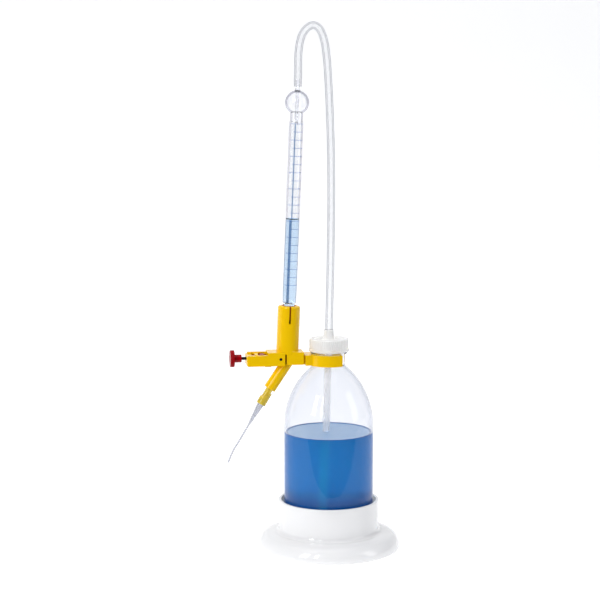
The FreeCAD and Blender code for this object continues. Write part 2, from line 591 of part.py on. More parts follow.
# ---- write one STEP file for each piece ----
os.makedirs("parts", exist_ok=True)
for name, shape in pieces.items():
    if not shape.isValid() or len(shape.Solids) != 1:
        print("check", name, shape.isValid(), len(shape.Solids))
    shape.exportStep(os.path.join("parts", name + ".step"))
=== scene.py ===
import math

import bmesh
import bpy
from mathutils import Matrix, Vector


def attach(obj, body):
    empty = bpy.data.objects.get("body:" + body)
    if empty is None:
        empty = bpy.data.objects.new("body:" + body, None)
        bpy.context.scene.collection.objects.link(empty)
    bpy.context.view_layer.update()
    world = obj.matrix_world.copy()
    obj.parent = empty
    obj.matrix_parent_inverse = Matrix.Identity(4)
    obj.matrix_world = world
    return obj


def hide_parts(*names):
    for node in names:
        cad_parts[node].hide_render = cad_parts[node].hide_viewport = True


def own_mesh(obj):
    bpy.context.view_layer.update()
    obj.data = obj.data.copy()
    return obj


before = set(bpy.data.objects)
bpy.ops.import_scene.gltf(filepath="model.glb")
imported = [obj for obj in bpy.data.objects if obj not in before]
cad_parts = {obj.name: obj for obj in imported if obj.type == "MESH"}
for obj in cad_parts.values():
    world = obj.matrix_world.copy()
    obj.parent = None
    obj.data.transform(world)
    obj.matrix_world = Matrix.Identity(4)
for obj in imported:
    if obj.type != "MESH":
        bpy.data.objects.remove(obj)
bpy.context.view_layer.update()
scene = bpy.context.scene
scene.view_settings.view_transform = "Standard"
MM = 0.001


# ---- camera ----
# A long lens at chest height, 7.5 degrees down and 8 degrees to the left of the graduated face.
CAMERA_TILT = 82.5
CAMERA_TURN = -8.0
camera = bpy.data.objects.new("camera", bpy.data.cameras.new("camera"))
camera.data.lens = 102.4
camera.data.sensor_width = 36.0
camera.location = (-0.2229, -1.4103, 0.401)
camera.rotation_euler = (math.radians(CAMERA_TILT), 0, math.radians(CAMERA_TURN))
scene.collection.objects.link(camera)
scene.camera = camera


# ---- supply hose ----
# Clear flexible tubing, pushed over the glass stem at one end and through the cap's boss at the
# other. A hollow tube mesh follows the same line as the part's source.
LEAN = 2.31
TOWER_FOOT = Vector((-35.5, 0, 170.3))
LEANING = Matrix.Translation(TOWER_FOOT) @ Matrix.Rotation(math.radians(LEAN), 4, "Y")
HOSE_RADIUS = 3.3
HOSE_BORE = 2.0
STEM_END = 221.6
HOSE_POINTS = [(0, 184), (0.4, 206), (1.3, 245), (1.9, 300), (1.3, 350), (-0.7, 395), (-2.5, 419.5),
               (-5.2, 434.0), (-10.3, 442.1), (-17.2, 441.9), (-23.6, 434.2), (-26.2, 420.5), (-26.2, 404)]
hose_end = LEANING @ Vector((0, 0, STEM_END))


def nurbs_line(points, resolution=10):
    """Points along a quadratic spline through the ends of a control polygon."""
    curve = bpy.data.curves.new("line", "CURVE")
    curve.dimensions = "3D"
    spline = curve.splines.new("NURBS")
    spline.points.add(len(points) - 1)
    for point, place in zip(spline.points, points):
        point.co = (*place, 1)
    spline.order_u = 3
    spline.use_endpoint_u = True
    spline.resolution_u = resolution
    holder = bpy.data.objects.new("line", curve)
    mesh = bpy.data.meshes.new_from_object(holder)
    line = [vertex.co.copy() for vertex in mesh.vertices]
    bpy.data.objects.remove(holder)
    bpy.data.curves.remove(curve)
    bpy.data.meshes.remove(mesh)
    return line


def grid_mesh(name, rings, closed_ring=True, closed_length=False):
    """Smooth mesh over equal rings of points, with edges over 35 degrees kept sharp."""
    count = len(rings[0])
    verts = [point for ring in rings for point in ring]
    faces = []
    for row in range(len(rings) if closed_length else len(rings) - 1):
        here, there = row * count, (row + 1) % len(rings) * count
        for step in range(count if closed_ring else count - 1):
            after = (step + 1) % count
            faces.append((here + step, here + after, there + after, there + step))
    mesh = bpy.data.meshes.new(name)
    mesh.from_pydata([tuple(v) for v in verts], [], faces)
    mesh.update()
    if closed_ring and closed_length:
        solid = bmesh.new()
        solid.from_mesh(mesh)
        if solid.calc_volume(signed=True) < 0:
            mesh.flip_normals()
        solid.free()
    mesh.polygons.foreach_set("use_smooth", [True] * len(mesh.polygons))
    mesh.set_sharp_from_angle(angle=math.radians(35))
    piece = bpy.data.objects.new(name, mesh)
    scene.collection.objects.link(piece)
    return piece


def hollow_tube(name, line, radii, sides):
    """Hollow tube along a line in the plane y = 0; radii holds each point's outside and bore."""
    outsides, insides = [], []
    for index, place in enumerate(line):
        ahead = line[min(index + 1, len(line) - 1)] - line[max(index - 1, 0)]
        ahead.normalize()
        across = Vector((ahead.z, 0, -ahead.x))
        up = ahead.cross(across)
        for store, reach in zip((outsides, insides), radii[index]):
            store.append([place + (across * math.cos(a) + up * math.sin(a)) * reach
                          for a in (2 * math.pi * s / sides for s in range(sides))])
    return grid_mesh(name, outsides + insides[::-1], closed_length=True)


def value_group(name, build):
    """Shader node group with a Scale and an Amount input and a 0-1 Value output."""
    group = bpy.data.node_groups.new(name, "ShaderNodeTree")
    group.interface.new_socket("Scale", in_out="INPUT", socket_type="NodeSocketFloat")
    group.interface.new_socket("Amount", in_out="INPUT", socket_type="NodeSocketFloat")
    group.interface.new_socket("Value", in_out="OUTPUT", socket_type="NodeSocketFloat")
    ends = group.nodes.new("NodeGroupInput"), group.nodes.new("NodeGroupOutput")
    build(group, *ends)
    return group


def mottle_nodes(group, start, end):
    place = group.nodes.new("ShaderNodeTexCoord")
    noise = group.nodes.new("ShaderNodeTexNoise")
    noise.inputs["Detail"].default_value = 5.0
    noise.inputs["Roughness"].default_value = 0.6
    times = group.nodes.new("ShaderNodeMath")
    times.operation = "MULTIPLY"
    group.links.new(place.outputs["Object"], noise.inputs["Vector"])
    group.links.new(start.outputs["Scale"], noise.inputs["Scale"])
    group.links.new(noise.outputs["Fac"], times.inputs[0])
    group.links.new(start.outputs["Amount"], times.inputs[1])
    group.links.new(times.outputs[0], end.inputs["Value"])


def scuff_nodes(group, start, end):
    place = group.nodes.new("ShaderNodeTexCoord")
    stretch = group.nodes.new("ShaderNodeMapping")
    stretch.inputs["Scale"].default_value = (1.0, 1.0, 0.12)
    noise = group.nodes.new("ShaderNodeTexNoise")
    noise.inputs["Detail"].default_value = 8.0
    ramp = group.nodes.new("ShaderNodeMapRange")
    ramp.inputs["From Min"].default_value = 0.55
    ramp.inputs["From Max"].default_value = 0.75
    times = group.nodes.new("ShaderNodeMath")
    times.operation = "MULTIPLY"
    group.links.new(place.outputs["Object"], stretch.inputs["Vector"])
    group.links.new(stretch.outputs["Vector"], noise.inputs["Vector"])
    group.links.new(start.outputs["Scale"], noise.inputs["Scale"])
    group.links.new(noise.outputs["Fac"], ramp.inputs["Value"])
    group.links.new(ramp.outputs["Result"], times.inputs[0])
    group.links.new(start.outputs["Amount"], times.inputs[1])
    group.links.new(times.outputs[0], end.inputs["Value"])


MOTTLE = value_group("mottle", mottle_nodes)
SCUFF = value_group("scuff", scuff_nodes)


def surface(name, light, dark, rough, rough_worn=None, scale=60.0, bump=0.02, bump_scale=900.0,
            see_through=0.0, ior=1.45, metal=0.0, coat=0.0, subsurface=0.0, passes=0.0,
            painted_edge_shade=None, edge_shade_from=0.6, edge_shade_to=1.0, shine=0.5):
    """Principled material: mottled colour, scuffed roughness and a fine grain in the normal.

    passes is the share of shadow and diffuse light that a clear piece lets straight through. The colour given
    for slanting faces is painted shade, standing in for the dim surroundings that a clear piece reflects
    where it is seen at a slant; it comes in between the two given slant values.
    shine is the strength of its reflections."""
    material = bpy.data.materials.new(name)
    material.use_nodes = True
    nodes, links = material.node_tree.nodes, material.node_tree.links
    shader = nodes["Principled BSDF"]

    def use(group, group_scale, amount):
        node = nodes.new("ShaderNodeGroup")
        node.node_tree = group
        node.inputs["Scale"].default_value = group_scale
        node.inputs["Amount"].default_value = amount
        return node.outputs["Value"]

    mix = nodes.new("ShaderNodeMix")
    mix.data_type = "RGBA"
    mix.inputs["A"].default_value = (*light, 1)
    mix.inputs["B"].default_value = (*dark, 1)
    links.new(use(MOTTLE, scale, 1.0), mix.inputs["Factor"])
    # Painted shade: a dim colour mixed in where the face slants away, standing in for reflected dark
    # surroundings.
    if painted_edge_shade:
        slant = nodes.new("ShaderNodeLayerWeight")
        slant.inputs["Blend"].default_value = 0.5
        share = nodes.new("ShaderNodeMapRange")
        share.interpolation_type = "SMOOTHSTEP"
        share.inputs["From Min"].default_value = edge_shade_from
        share.inputs["From Max"].default_value = edge_shade_to
        rim = nodes.new("ShaderNodeMix")
        rim.data_type = "RGBA"
        rim.inputs["B"].default_value = (*painted_edge_shade, 1)
        links.new(slant.outputs["Facing"], share.inputs["Value"])
        links.new(share.outputs["Result"], rim.inputs["Factor"])
        links.new(mix.outputs["Result"], rim.inputs["A"])
        links.new(rim.outputs["Result"], shader.inputs["Base Color"])
    else:
        links.new(mix.outputs["Result"], shader.inputs["Base Color"])
    wear = nodes.new("ShaderNodeMapRange")
    wear.inputs["To Min"].default_value = rough
    wear.inputs["To Max"].default_value = rough_worn if rough_worn is not None else rough + 0.12
    links.new(use(SCUFF, scale * 2.5, 1.0), wear.inputs["Value"])
    links.new(wear.outputs["Result"], shader.inputs["Roughness"])
    if bump:
        grain = nodes.new("ShaderNodeBump")
        grain.inputs["Strength"].default_value = bump
        grain.inputs["Distance"].default_value = 0.0002
        links.new(use(MOTTLE, bump_scale, 1.0), grain.inputs["Height"])
        links.new(grain.outputs["Normal"], shader.inputs["Normal"])
    if passes:
        path = nodes.new("ShaderNodeLightPath")
        either = nodes.new("ShaderNodeMath")
        either.operation = "MAXIMUM"
        left = nodes.new("ShaderNodeMath")
        left.operation = "MULTIPLY_ADD"
        left.inputs[1].default_value = -passes
        left.inputs[2].default_value = 1.0
        links.new(path.outputs["Is Shadow Ray"], either.inputs[0])
        links.new(path.outputs["Is Diffuse Ray"], either.inputs[1])
        links.new(either.outputs[0], left.inputs[0])
        links.new(left.outputs[0], shader.inputs["Alpha"])
    shader.inputs["Transmission Weight"].default_value = see_through
    shader.inputs["IOR"].default_value = ior
    shader.inputs["Specular IOR Level"].default_value = shine
    shader.inputs["Metallic"].default_value = metal
    shader.inputs["Coat Weight"].default_value = coat
    shader.inputs["Coat Roughness"].default_value = 0.05
    if subsurface:
        shader.inputs["Subsurface Weight"].default_value = subsurface
        shader.inputs["Subsurface Scale"].default_value = 0.002
        shader.inputs["Subsurface Radius"].default_value = (1.0, 1.0, 1.0)
    return material


def finish_piece(piece, material, body, slot, *nodes):
    piece.data.materials.clear()
    piece.data.materials.append(material)
    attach(piece, body)
    if nodes:
        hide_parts(*nodes)
    return piece


hose_controls = [Vector((x, 0, z)) * MM for x, z in HOSE_POINTS] + [hose_end * MM]
hose_line = nurbs_line(hose_controls)
# The grey colour at the tubing's slanting sides is painted shade for the dim surroundings it reflects there.
clear_tubing = surface("clear_tubing", (0.965, 0.97, 0.98), (0.945, 0.95, 0.96), 0.10, 0.18, scale=12,
                       bump=0, see_through=0.95, ior=1.07, passes=0.9, painted_edge_shade=(0.50, 0.51, 0.55),
                       edge_shade_from=0.08, edge_shade_to=0.55)
hose = hollow_tube("supply_hose_skin", hose_line, [(HOSE_RADIUS * MM, HOSE_BORE * MM)] * len(hose_line), 48)
finish_piece(hose, clear_tubing, "holder", "clear_tubing", "supply_hose")


# ---- base ----
# Glossy white moulding: a flared foot and a socket that the bottle drops into. Softly rounded rim.
BASE_FLOOR = 3.0
SOCKET_TOP = 42.0


def arc(start, middle, end, steps=10):
    """Points after start along the arc through three (radius, height) points."""
    (ax, ay), (bx, by), (cx, cy) = start, middle, end
    twice = 2 * (ax * (by - cy) + bx * (cy - ay) + cx * (ay - by))
    a, b, c = ax * ax + ay * ay, bx * bx + by * by, cx * cx + cy * cy
    ox = (a * (by - cy) + b * (cy - ay) + c * (ay - by)) / twice
    oy = (a * (cx - bx) + b * (ax - cx) + c * (bx - ax)) / twice
    first = math.atan2(ay - oy, ax - ox)
    turn = (math.atan2(cy - oy, cx - ox) - first) % (2 * math.pi)
    half = (math.atan2(by - oy, bx - ox) - first) % (2 * math.pi)
    if half > turn:
        turn -= 2 * math.pi
    radius = math.hypot(ax - ox, ay - oy)
    return [(ox + radius * math.cos(a), oy + radius * math.sin(a))
            for a in (first + turn * s / steps for s in range(1, steps + 1))]


def profile(start, *steps):
    """Polyline in (radius, height); (mid, end) pairs are arcs and a third value rounds a corner."""
    points = [start]
    for step in steps:
        if isinstance(step[0], tuple):
            points += arc(points[-1][:2], step[0], step[1])
        else:
            points.append(step)
    out = []
    for index, point in enumerate(points):
        if len(point) < 3:
            out.append(point)
            continue
        corner = Vector(point[:2])
        into = corner - Vector(points[index - 1][:2])
        away = Vector(points[(index + 1) % len(points)][:2]) - corner
        turn = into.angle(away)
        reach = min(point[2] * math.tan(turn / 2), 0.48 * into.length, 0.48 * away.length)
        begin = corner - into.normalized() * reach
        end = corner + away.normalized() * reach
        for s in range(7):
            t = s / 6
            spot = begin * (1 - t) ** 2 + corner * 2 * t * (1 - t) + end * t * t
            out.append(tuple(spot))
    return out


def turned(name, points, steps=128, place=None, reach=None):
    """Closed solid of revolution in metres from a closed (radius, height) outline in mm."""
    rings = []
    for s in range(steps):
        turn = 2 * math.pi * s / steps
        ring = []
        for r, z in points:
            r = max(r, 1e-4)
            if reach:
                r = reach(turn, r, z)
            spot = Vector((r * math.cos(turn), r * math.sin(turn), z))
            ring.append((place @ spot if place else spot) * MM)
        rings.append(ring)
    return grid_mesh(name, rings, closed_length=True)


SOCKET_RADIUS = 42.8
SOCKET_BORE = 40.3
white_plastic = surface("white_plastic", (0.80, 0.80, 0.805), (0.77, 0.77, 0.78), 0.12, 0.22, scale=25,
                        bump=0.02, bump_scale=300, coat=0.4, subsurface=0.06)
base = turned("base_foot_skin", profile(
    (0, 0), (41.8, 0, 0.4), (43.0, 2.0, 0.4), (56.2, 2.0, 0.4), (57.4, 0, 0.3), (58.6, 0),
    ((60.2, 0.9), (60.7, 3.0)), ((59.2, 8.0), (55.0, 12.3)), ((50.6, 13.9), (45.9, 14.6)),
    ((43.7, 15.6), (SOCKET_RADIUS, 18.0)), (SOCKET_RADIUS, SOCKET_TOP, 0.9), (SOCKET_BORE, SOCKET_TOP, 0.7),
    (SOCKET_BORE, BASE_FLOOR, 1.5), (0, BASE_FLOOR)), steps=192)
finish_piece(base, white_plastic, "base", "white_plastic", "base_foot")


# ---- bottle ----
# Blown clear polyethylene with a domed shoulder, a clip groove, a flange and a threaded neck.
BOTTLE_RADIUS = 38.0
WALL = 1.2
BOTTOM = 3.3
HEEL = 4.0
SHOULDER_START = 106.0
SHOULDER_HEIGHT = 51.7
GROOVE_RADIUS = 13.5
NECK_RADIUS = 12.9
NECK_BORE = 11.7
FLANGE_RADIUS = 15.5
FLANGE_BOTTOM = 168.0
FLANGE_TOP = 169.3
NECK_TOP = 177.6
shoulder_drop = BOTTLE_RADIUS - GROOVE_RADIUS
shoulder_arc = (shoulder_drop ** 2 + SHOULDER_HEIGHT ** 2) / (2 * shoulder_drop)
shoulder_x = BOTTLE_RADIUS - shoulder_arc


def shoulder(inset, end_radius, steps=24):
    radius = shoulder_arc - inset
    end = math.acos((end_radius - shoulder_x) / radius)
    return [(shoulder_x + radius * math.cos(a), SHOULDER_START + radius * math.sin(a))
            for a in (end * s / steps for s in range(steps + 1))]


def fine(start, end, steps):
    return [(start[0] + (end[0] - start[0]) * s / steps, start[1] + (end[1] - start[1]) * s / steps)
            for s in range(1, steps)]


outside = shoulder(0, GROOVE_RADIUS)
inside = shoulder(WALL, NECK_BORE)
bottle_outline = (
    profile((0, BOTTOM + 1.0), (14, BOTTOM + 0.7), (28, BOTTOM, 2), (BOTTLE_RADIUS, BOTTOM, HEEL)) +
    fine((BOTTLE_RADIUS, BOTTOM + HEEL), (BOTTLE_RADIUS, SHOULDER_START), 16) + outside +
    profile((GROOVE_RADIUS, FLANGE_BOTTOM, 0.3), (FLANGE_RADIUS, FLANGE_BOTTOM, 0.4),
            (FLANGE_RADIUS, FLANGE_TOP, 0.4), (NECK_RADIUS, FLANGE_TOP, 0.3), (NECK_RADIUS, NECK_TOP, 0.4),
            (NECK_BORE, NECK_TOP, 0.4), (NECK_BORE, 165)) + inside[::-1] +
    fine((BOTTLE_RADIUS - WALL, SHOULDER_START), (BOTTLE_RADIUS - WALL, BOTTOM + 5.4), 16) +
    profile((BOTTLE_RADIUS - WALL, BOTTOM + 1.4 + HEEL), (BOTTLE_RADIUS - WALL, BOTTOM + 1.6, HEEL),
            (28, BOTTOM + 1.5), (0, BOTTOM + 2.2)))
# The blue-grey colour at the bottle's slanting sides is painted shade for the dim surroundings it reflects
# there.
clear_plastic = surface("clear_plastic", (0.915, 0.92, 0.94), (0.87, 0.88, 0.91), 0.05, 0.10, scale=14,
                        bump=0.05, bump_scale=60, see_through=1.0, ior=1.28, passes=0.92,
                        painted_edge_shade=(0.50, 0.54, 0.66), edge_shade_from=0.45)
bottle = turned("bottle_skin", bottle_outline, steps=160)
finish_piece(bottle, clear_plastic, "bottle", "clear_plastic", "bottle")

THREAD_START = 170.9
THREAD_RISE = 4.536
THREAD_TURNS = 2.1
THREAD_HEIGHT = 0.9
THREAD_STEPS = 160
thread_rings = []
for s in range(THREAD_STEPS + 1):
    share = s / THREAD_STEPS
    turn = 2 * math.pi * THREAD_TURNS * share
    crest = NECK_RADIUS + THREAD_HEIGHT * min(1.0, share * 12, (1 - share) * 12)
    z = THREAD_START + THREAD_RISE * share
    thread_rings.append([Vector((r * math.cos(turn), r * math.sin(turn), z + up)) * MM for r, up in (
        (NECK_RADIUS - 0.15, -0.65), (NECK_RADIUS, -0.65), (crest, -0.2), (crest, 0.2), (NECK_RADIUS, 0.65),
        (NECK_RADIUS - 0.15, 0.65))])
thread = grid_mesh("neck_thread", thread_rings)
finish_piece(thread, clear_plastic, "bottle", "clear_plastic")


# ---- titrant in the bottle ----
# Blue solution with painted shade towards the bottom, standing in for the shaded base socket seen through it.
# It reaches into the inner wall a little, so no air film shows between the two. A dark ring at its rim where
# it climbs the wall is painted shade, and a lighter disc on its top is a painted reflection of the sky.
LIQUID_LEVEL = 100.0
titrant = surface("titrant", (0.0, 0.215, 0.60), (0.0, 0.155, 0.50), 0.0, 0.0, scale=8, bump=0,
                  see_through=0.5, ior=1.33, passes=0.9, shine=0.3)
titrant_nodes, titrant_links = titrant.node_tree.nodes, titrant.node_tree.links
# Painted shade: the colour dims towards the bottom, standing in for the shaded inside of the base socket seen
# through the solution.
height_place = titrant_nodes.new("ShaderNodeTexCoord")
height_parts = titrant_nodes.new("ShaderNodeSeparateXYZ")
painted_low_shade = titrant_nodes.new("ShaderNodeMapRange")
painted_low_shade.inputs["From Min"].default_value = 0.053
painted_low_shade.inputs["From Max"].default_value = 0.046
painted_low_shade.inputs["To Max"].default_value = 0.75
low_shade_mix = titrant_nodes.new("ShaderNodeMix")
low_shade_mix.data_type = "RGBA"
low_shade_mix.inputs["B"].default_value = (0.0, 0.10, 0.41, 1)
titrant_colour = titrant_nodes["Principled BSDF"].inputs["Base Color"].links[0].from_socket
titrant_links.new(height_place.outputs["Object"], height_parts.inputs["Vector"])
titrant_links.new(height_parts.outputs["Z"], painted_low_shade.inputs["Value"])
titrant_links.new(painted_low_shade.outputs["Result"], low_shade_mix.inputs["Factor"])
titrant_links.new(titrant_colour, low_shade_mix.inputs["A"])
titrant_links.new(low_shade_mix.outputs["Result"], titrant_nodes["Principled BSDF"].inputs["Base Color"])
liquid_radius = BOTTLE_RADIUS - WALL + 0.05
liquid = turned("bottle_titrant_body", profile(
    (0, BOTTOM + 2.1), (28, BOTTOM + 1.45), (liquid_radius, BOTTOM + 1.5, HEEL),
    (liquid_radius, LIQUID_LEVEL + 0.5), (liquid_radius - 0.8, LIQUID_LEVEL + 0.15),
    (liquid_radius - 2, LIQUID_LEVEL), (0, LIQUID_LEVEL)), steps=160)
finish_piece(liquid, titrant, "bottle", "titrant", "bottle_titrant")
# Painted shade: a dark blue ring where the solution meets the wall, standing in for the shade the curved
# meniscus shows.
painted_meniscus_shade = surface("painted_meniscus_shade", (0.0, 0.10, 0.36), (0.0, 0.08, 0.30), 0.1, 0.2, scale=30, bump=0)
meniscus = turned("titrant_meniscus", [
    (36.3, LIQUID_LEVEL - 0.3), (36.86, LIQUID_LEVEL - 0.5), (36.86, LIQUID_LEVEL + 0.6),
    (36.6, LIQUID_LEVEL + 0.2)], steps=160)
finish_piece(meniscus, painted_meniscus_shade, "bottle", "titrant")
# Painted reflection: an opaque lighter blue disc on the solution's top stands in for the sky it reflects.
painted_sky_reflection = surface("titrant_surface", (0.21, 0.41, 0.69), (0.18, 0.37, 0.66), 0.05, 0.12, scale=20,
                       bump=0)
FILM_RADIUS = 34.8
top = turned("titrant_surface_film", [
    (0, LIQUID_LEVEL + 0.04), (FILM_RADIUS, LIQUID_LEVEL + 0.04), (FILM_RADIUS, LIQUID_LEVEL + 0.14),
    (0, LIQUID_LEVEL + 0.14)], steps=96)
finish_piece(top, painted_sky_reflection, "bottle", "titrant")


# ---- riser tube ----
# Natural plastic tube from near the bottle's floor up into the cap's boss, its foot cut square.
natural_plastic = surface("natural_plastic", (0.97, 0.97, 0.97), (0.92, 0.92, 0.93), 0.22, 0.35, scale=60,
                          bump=0.03, see_through=0.75, ior=1.12, passes=0.9)
RISER_RADIUS = 3.1
RISER_BORE = 2.1
riser_line = [Vector(place) * MM for place in ((-4.6, 0, 8.0), (-2.3, 0, 95.8), (0, 0, 183.6))]
riser = hollow_tube("riser_tube_skin", riser_line, [(RISER_RADIUS * MM, RISER_BORE * MM)] * 3, 40)
finish_piece(riser, natural_plastic, "bottle", "natural_plastic", "riser_tube")


# ---- screw cap ----
# Translucent moulding with a fine ribbed skirt, a lip below, a sunk ring on top and a central boss.
CAP_BOTTOM = 169.7
CAP_TOP = 180.4
CAP_RADIUS = 16.5
SKIRT_BORE = 14.2
BOSS_BORE = 3.64
BOSS_TOP = 188.0
CAP_ROOF = 179.0
CAP_RIBS = 56
cap_outline = (
    profile((SKIRT_BORE, CAP_BOTTOM, 0.3), (16.9, CAP_BOTTOM, 0.3), (17.2, 170.2, 0.2), (17.1, 170.9, 0.3),
            (CAP_RADIUS, 171.5, 0.2)) + fine((CAP_RADIUS, 171.5), (CAP_RADIUS, 179.4), 12) +
    profile((CAP_RADIUS, 179.6), (16.3, 180.1), (15.4, CAP_TOP, 0.4), (12.4, CAP_TOP, 0.3),
            (12.0, 179.7, 0.3), (6.4, 179.7, 0.3), (6.0, CAP_TOP, 0.2), (4.7, CAP_TOP, 0.3),
            (4.3, 187.4, 0.3), (3.9, BOSS_TOP, 0.2), (BOSS_BORE, BOSS_TOP, 0.1), (BOSS_BORE, CAP_ROOF),
            (SKIRT_BORE, CAP_ROOF, 0.5)))


def cap_ribs(turn, r, z):
    if r < 16.25 or not 171.6 < z < 179.7:
        return r
    return r - 0.42 * (0.5 - 0.5 * math.cos(CAP_RIBS * turn)) ** 0.7


# The grey colour at the cap's slanting sides is painted shade for the dim surroundings it reflects there.
cap_plastic = surface("cap_plastic", (1.0, 1.0, 1.0), (0.97, 0.97, 0.97), 0.16, 0.30, scale=60,
                      bump=0.03, see_through=0.5, ior=1.15, subsurface=0.2, passes=0.93,
                      painted_edge_shade=(0.82, 0.82, 0.84), edge_shade_from=0.7)
cap = turned("screw_cap_skin", cap_outline, steps=448, reach=cap_ribs)
finish_piece(cap, cap_plastic, "cap", "natural_plastic", "screw_cap")


# ---- yellow plastic: neck clip, burette holder, valve housing and outlet spout ----
# Glossy ABS mouldings. The clip is a sprung ring open at the side; block and housing are bonded.
yellow = surface("yellow_plastic", (0.93, 0.59, 0.0), (0.89, 0.54, 0.0), 0.16, 0.26, scale=30, bump=0.02,
                 bump_scale=400, subsurface=0.12, shine=0.32)
yellow.node_tree.nodes["Principled BSDF"].inputs["Subsurface Radius"].default_value = (1.0, 0.55, 0.02)


def bevelled(node, width):
    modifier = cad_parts[node].modifiers.new("soft_edges", "BEVEL")
    modifier.width = width * MM
    modifier.segments = 3
    modifier.limit_method = "ANGLE"
    modifier.angle_limit = math.radians(30)
    modifier.use_clamp_overlap = True
    modifier.harden_normals = False


def dress(node, material):
    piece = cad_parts[node]
    piece.data.materials.clear()
    piece.data.materials.append(material)
    return piece


for node, width in (("neck_clip", 0.22), ("burette_holder", 0.22), ("valve_housing", 0.22),
                    ("outlet_spout", 0.25)):
    dress(node, yellow)
    bevelled(node, width)


# ---- valve insides: pin, anvil, liner, insert, pad ----
# Small fitted parts: a blackened steel cross pin, nylon anvil and pads, a machined brass insert and
# the soft bush that seats the glass, each pressed or dropped into its moulding. The bush is a real part, but
# its red-brown colour is painted shade, standing in for the warm reflected shade seen in the tower's slit.
dark_steel = surface("dark_steel", (0.06, 0.06, 0.07), (0.02, 0.02, 0.025), 0.28, 0.45, scale=200,
                     bump=0.05, metal=0.8)
nylon = surface("nylon", (0.85, 0.84, 0.78), (0.78, 0.77, 0.70), 0.45, 0.6, scale=80, bump=0.05,
                subsurface=0.1)
brass = surface("brass", (0.80, 0.58, 0.22), (0.70, 0.48, 0.16), 0.25, 0.4, scale=150, bump=0.05,
                metal=1.0)
# Painted shade: red-brown given to the bush so that the tower's slit shows warm reflected shade.
amber_rubber = surface("amber_rubber", (0.55, 0.10, 0.02), (0.46, 0.07, 0.015), 0.6, 0.75, scale=90,
                      bump=0.08)
for node, material in (("anvil_pin", dark_steel), ("pinch_anvil", nylon), ("cap_liner", nylon),
                       ("thrust_pad", nylon), ("threaded_insert", brass), ("burette_bush", amber_rubber),
                       ("pinch_hose", clear_tubing)):
    dress(node, material)
for node in ("anvil_pin", "pinch_anvil", "threaded_insert"):
    bevelled(node, 0.12)


# ---- slider ----
# Glossy red moulding, seen through the housing's window, pushed by the thumb or the screw. It runs in
# the housing's channel.
red = surface("red_plastic", (0.36, 0.0, 0.003), (0.28, 0.0, 0.002), 0.18, 0.3, scale=40, bump=0.02,
              bump_scale=400, subsurface=0.05, shine=0.16)
dress("pinch_slider", red)
bevelled("pinch_slider", 0.2)


# ---- adjusting knob and metering screw ----
# The knob is red plastic with a finely knurled rim and a hub, bonded on a dark steel screw with a
# fine thread.
KNOB_LEFT = -84.2
SCREW_AXIS = 164.8
ON_SCREW = Matrix.Translation((KNOB_LEFT, 0, SCREW_AXIS)) @ Matrix.Rotation(math.radians(90), 4, "Y")
KNURLS = 60
KNOB_RIM = 7.1
SCREW_RADIUS = 1.38
SCREW_PITCH = 0.5


def knurled(turn, r, z):
    if r < 6.9 or not 0.9 < z < 2.9:
        return r
    return r - 0.16 * (0.5 - 0.5 * math.cos(KNURLS * turn))


knob = turned("adjusting_knob_skin", profile(
    (0, 0.25), (2.4, 0.25, 0.3), (2.9, 0, 0.3), (KNOB_RIM, 0, 1.0), (KNOB_RIM, 1.0), (KNOB_RIM, 1.8),
    (KNOB_RIM, 2.7), (KNOB_RIM, 3.6, 0.9), (3.35, 3.6, 0.4), (3.3, 9.7, 0.35), (1.42, 9.7, 0.1),
    (1.42, 1.18), (0, 1.18)),
    steps=360, place=ON_SCREW, reach=knurled)
finish_piece(knob, red, "knob", "red_plastic", "adjusting_knob")


def threaded(turn, r, z):
    if r < 1.3 or z < 9.0:
        return r
    return r - 0.22 * (0.5 - 0.5 * math.cos(2 * math.pi * z / SCREW_PITCH - turn))


screw_outline = profile((0, 1.2), (SCREW_RADIUS, 1.2)) + fine((SCREW_RADIUS, 1.2), (SCREW_RADIUS, 24.0), 360)
screw = turned("metering_screw_skin", screw_outline + [(1.1, 24.2), (0, 24.2)], steps=24, place=ON_SCREW,
               reach=threaded)
finish_piece(screw, dark_steel, "knob", "dark_steel", "metering_screw")


# ---- return spring ----
# Bright spring wire between the slider and the block, with closed end turns. It is squeezed as the
# slider comes in.
SPRING_START = -32.1
SPRING_END = -25.6
SPRING_AXIS = 164.25
SPRING_RADIUS = 2.2
WIRE = 0.3
SPRING_TURNS = 5
TURN_STEPS = 32
spring_rings = []
for s in range((SPRING_TURNS + 2) * TURN_STEPS + 1):
    turn = 2 * math.pi * s / TURN_STEPS
    share = min(max((s - TURN_STEPS) / (SPRING_TURNS * TURN_STEPS), 0), 1)
    x = SPRING_START + WIRE + (SPRING_END - SPRING_START - 2 * WIRE) * share
    out = Vector((0, math.cos(turn), math.sin(turn)))
    middle = Vector((x, 0, SPRING_AXIS)) + out * SPRING_RADIUS
    spring_rings.append([(middle + (out * math.cos(a) + Vector((1, 0, 0)) * math.sin(a)) * WIRE * 0.98) * MM
                         for a in (2 * math.pi * i / 12 for i in range(12))])
spring_steel = surface("spring_steel", (0.62, 0.62, 0.62), (0.5, 0.5, 0.5), 0.18, 0.3, scale=200, bump=0.03,
                       metal=1.0)
spring = grid_mesh("return_spring_wire", spring_rings)
finish_piece(spring, spring_steel, "holder", "spring_steel", "return_spring")
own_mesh(spring)


# ---- outlet: nipple, sleeve and drawn-out tip ----
# Amber nipple and an obliquely cut amber sleeve grip the clear tip, drawn down to a bent capillary.
amber = surface("amber_plastic", (0.86, 0.70, 0.10), (0.80, 0.62, 0.07), 0.12, 0.25, scale=60, bump=0.03,
                see_through=0.55, ior=1.40, passes=0.6)
TIP_START = Vector((-49.9, 0, 139.6))
ALONG_TIP = Matrix.Translation(TIP_START) @ Matrix.Rotation(math.radians(30.5), 4, "Y")
for node in ("outlet_nipple", "tip_sleeve"):
    dress(node, amber)
bevelled("tip_sleeve", 0.15)

